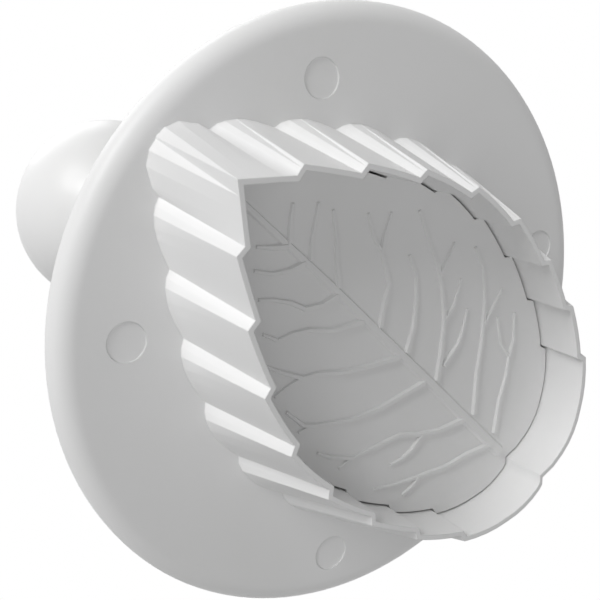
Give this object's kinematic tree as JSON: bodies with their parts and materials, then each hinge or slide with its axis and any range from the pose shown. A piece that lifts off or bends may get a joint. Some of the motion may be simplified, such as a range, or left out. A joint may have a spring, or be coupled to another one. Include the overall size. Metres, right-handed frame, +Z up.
{
  "type": "plunger cutter",
  "caption": "Spring-loaded plunger cutter with a round flange, a toothed leaf-shaped cutting wall, a veined embossing plate and a ball-ended plunger.",
  "frame": {"origin": "point where the plunger's axis meets the plane of the cutting edge, on which the cutter stands", "axes": "+Z up along the plunger's axis towards the knob, +X towards the leaf's apex"},
  "size_m": [0.072, 0.072, 0.1015],
  "materials": {
    "body_plastic": "satin",
    "plate_plastic": "satin",
    "rod_plastic": "satin",
    "knob_plastic": "gloss",
    "spring_steel": "satin"
  },
  "bodies": {
    "cutter": {"cutter_body": "body_plastic", "return_spring": "spring_steel"},
    "plunger": {"emboss_plate": "plate_plastic", "push_rod": "rod_plastic", "knob": "knob_plastic"}
  },
  "joints": [
    {"name": "plunger_slide", "type": "slide", "parent": "cutter", "child": "plunger", "axis": [0, 0, -1], "range_m": [0, 0.007], "stiffness_N_per_m": 400, "springref_m": -0.005, "deforming": ["return_spring"]}
  ]
}
